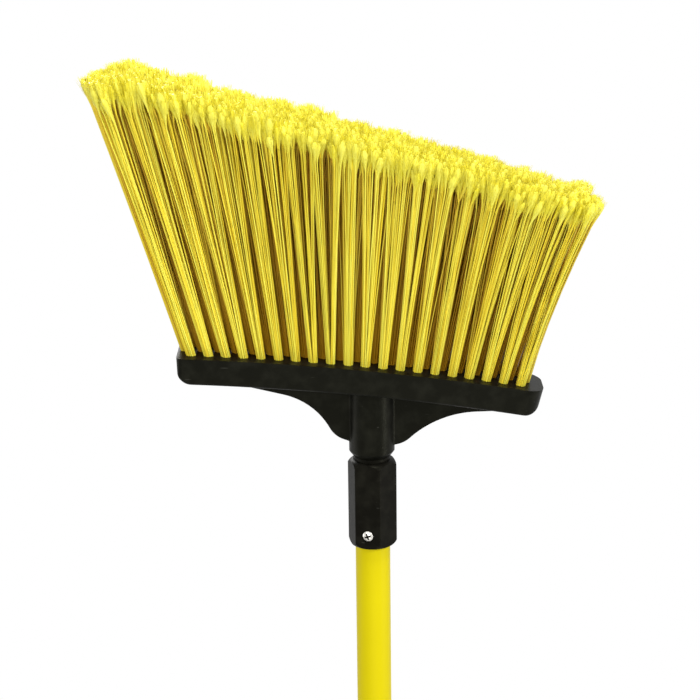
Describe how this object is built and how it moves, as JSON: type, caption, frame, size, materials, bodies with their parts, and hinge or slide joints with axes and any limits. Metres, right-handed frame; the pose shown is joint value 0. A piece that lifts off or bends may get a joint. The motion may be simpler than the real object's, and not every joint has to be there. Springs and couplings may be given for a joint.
{
  "type": "angle broom",
  "caption": "Household angle broom: fanned split-tip bristles cut on a slope, set in a tilted crowned block that screws onto the ferrule of a long straight tube handle with a hang cap.",
  "frame": {"origin": "on the handle axis at the grip, 300 mm below the ferrule's foot, where a clip or hand holds the tube", "axes": "+Z along the handle towards the bristles, -Y to the front with the ferrule screw, +X to the lower end of the block"},
  "size_m": [0.3153, 0.0712, 1.5142],
  "materials": {
    "handle_paint": "powder-coated yellow steel tube",
    "ferrule_plastic": "black moulded polypropylene, satin",
    "screw_zinc": "zinc-plated steel",
    "cap_plastic": "black moulded polypropylene, satin",
    "block_plastic": "black moulded polypropylene, satin",
    "bristle_filament": "yellow PET filament with split tips",
    "staple_wire": "flat steel wire"
  },
  "bodies": {
    "handle": {"handle_tube": "handle_paint", "ferrule": "ferrule_plastic", "ferrule_screw": "screw_zinc", "hang_cap": "cap_plastic"},
    "head": {"broom_block": "block_plastic", "bristles_front_row": "bristle_filament", "bristles_middle_row": "bristle_filament", "bristles_rear_row": "bristle_filament", "staples_front_row": "staple_wire", "staples_middle_row": "staple_wire", "staples_rear_row": "staple_wire"}
  },
  "joints": [
    {"name": "head_unscrew", "type": "hinge", "parent": "handle", "child": "head", "pos_m": [0, 0, 0.36], "axis": [0, 0, 1], "range_deg": [0, 1890]}
  ]
}
